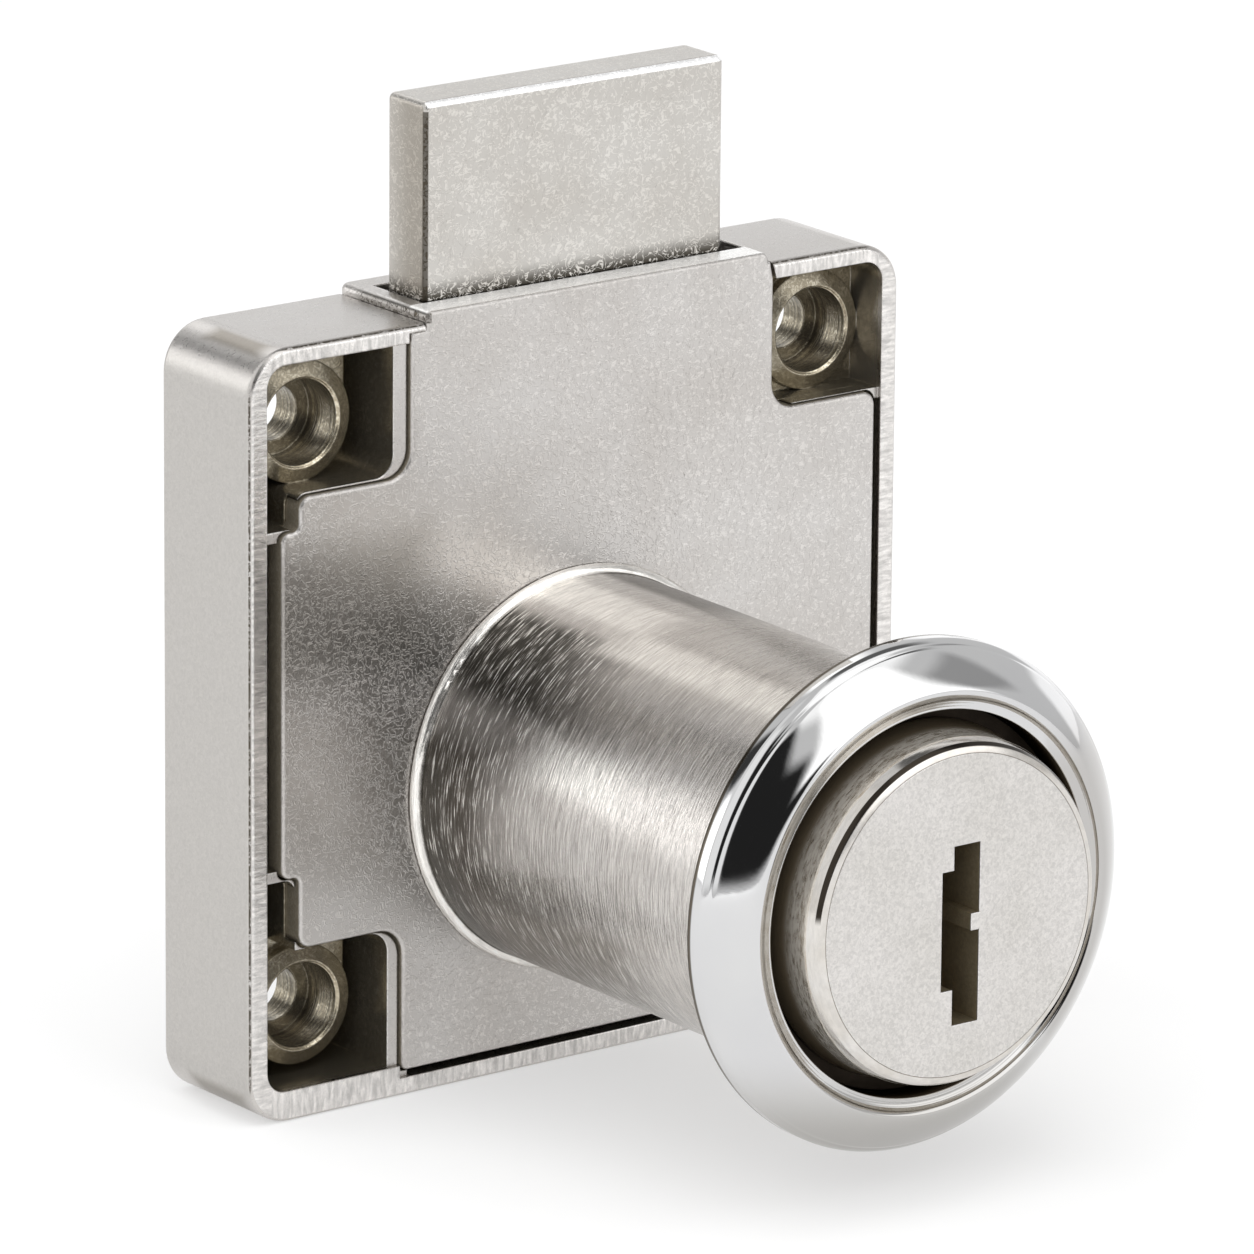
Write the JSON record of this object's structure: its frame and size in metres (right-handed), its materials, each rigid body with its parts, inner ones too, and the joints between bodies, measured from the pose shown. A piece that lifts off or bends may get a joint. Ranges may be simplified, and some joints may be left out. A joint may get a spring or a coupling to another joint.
{
  "type": "furniture lock",
  "caption": "Surface furniture lock: square case with a sliding dead bolt, round key barrel with a trim ring, and a wafer plug that draws the bolt.",
  "frame": {"origin": "where the barrel's axis meets the panel plane, the plane of the case's front rim", "axes": "-Y along the barrel towards the key, +Y into the case, +Z the way the bolt is thrown, +X to the right seen from the key side"},
  "size_m": [0.04, 0.038, 0.05],
  "materials": {
    "satin_nickel": "satin nickel plate on a zinc casting, fine sandy grain",
    "turned_nickel": "turned, with short fine lines round the barrel, nickel plated",
    "polished_chrome": "mirror chrome plate",
    "blasted_nickel": "fine blasted face with a bright bevel, nickel plated",
    "grained_nickel": "as-cast grain, nickel plated",
    "zinc_plate": "bright zinc plated steel",
    "spring_steel": "dark spring steel",
    "brass": "stamped brass"
  },
  "bodies": {
    "housing": {"case": "satin_nickel", "cover_plate": "satin_nickel", "barrel": "turned_nickel", "bolt_spring": "spring_steel", "cover_screws": "zinc_plate"},
    "core": {"core_plug": "blasted_nickel", "crank": "zinc_plate", "crank_pin": "zinc_plate", "crank_screw": "zinc_plate", "wafer_spring_1": "spring_steel", "wafer_spring_2": "spring_steel", "wafer_spring_3": "spring_steel", "wafer_spring_4": "spring_steel", "wafer_spring_5": "spring_steel", "wafer_spring_6": "spring_steel"},
    "bolt": {"bolt": "grained_nickel"},
    "trim_ring": {"rosette": "polished_chrome"},
    "wafer_1": {"wafer_1": "brass"},
    "wafer_2": {"wafer_2": "brass"},
    "wafer_3": {"wafer_3": "brass"},
    "wafer_4": {"wafer_4": "brass"},
    "wafer_5": {"wafer_5": "brass"},
    "wafer_6": {"wafer_6": "brass"}
  },
  "joints": [
    {"name": "core_turn", "type": "hinge", "parent": "housing", "child": "core", "pos_m": [0, 0, 0], "axis": [0, 1, 0], "range_deg": [0, 180]},
    {"name": "bolt_slide", "type": "slide", "parent": "housing", "child": "bolt", "axis": [0, 0, 1], "range_m": [-0.01, 0]},
    {"name": "rosette_slide", "type": "slide", "parent": "housing", "child": "trim_ring", "axis": [0, -1, 0], "range_m": [0, 0.05]},
    {"name": "wafer_1_slide", "type": "slide", "parent": "core", "child": "wafer_1", "axis": [0, 0, 1], "range_m": [0, 0.001], "deforming": ["wafer_spring_1"]},
    {"name": "wafer_2_slide", "type": "slide", "parent": "core", "child": "wafer_2", "axis": [0, 0, 1], "range_m": [0, 0.001], "deforming": ["wafer_spring_2"]},
    {"name": "wafer_3_slide", "type": "slide", "parent": "core", "child": "wafer_3", "axis": [0, 0, 1], "range_m": [0, 0.001], "deforming": ["wafer_spring_3"]},
    {"name": "wafer_4_slide", "type": "slide", "parent": "core", "child": "wafer_4", "axis": [0, 0, 1], "range_m": [0, 0.001], "deforming": ["wafer_spring_4"]},
    {"name": "wafer_5_slide", "type": "slide", "parent": "core", "child": "wafer_5", "axis": [0, 0, 1], "range_m": [0, 0.001], "deforming": ["wafer_spring_5"]},
    {"name": "wafer_6_slide", "type": "slide", "parent": "core", "child": "wafer_6", "axis": [0, 0, 1], "range_m": [0, 0.001], "deforming": ["wafer_spring_6"]}
  ],
  "couplings": [
    {"joint": "bolt_slide", "follows": "core_turn", "m_per_rad": -0.003183},
    {"joint": "wafer_2_slide", "follows": "wafer_1_slide", "ratio": 1},
    {"joint": "wafer_3_slide", "follows": "wafer_1_slide", "ratio": 1},
    {"joint": "wafer_4_slide", "follows": "wafer_1_slide", "ratio": 1},
    {"joint": "wafer_5_slide", "follows": "wafer_1_slide", "ratio": 1},
    {"joint": "wafer_6_slide", "follows": "wafer_1_slide", "ratio": 1}
  ]
}
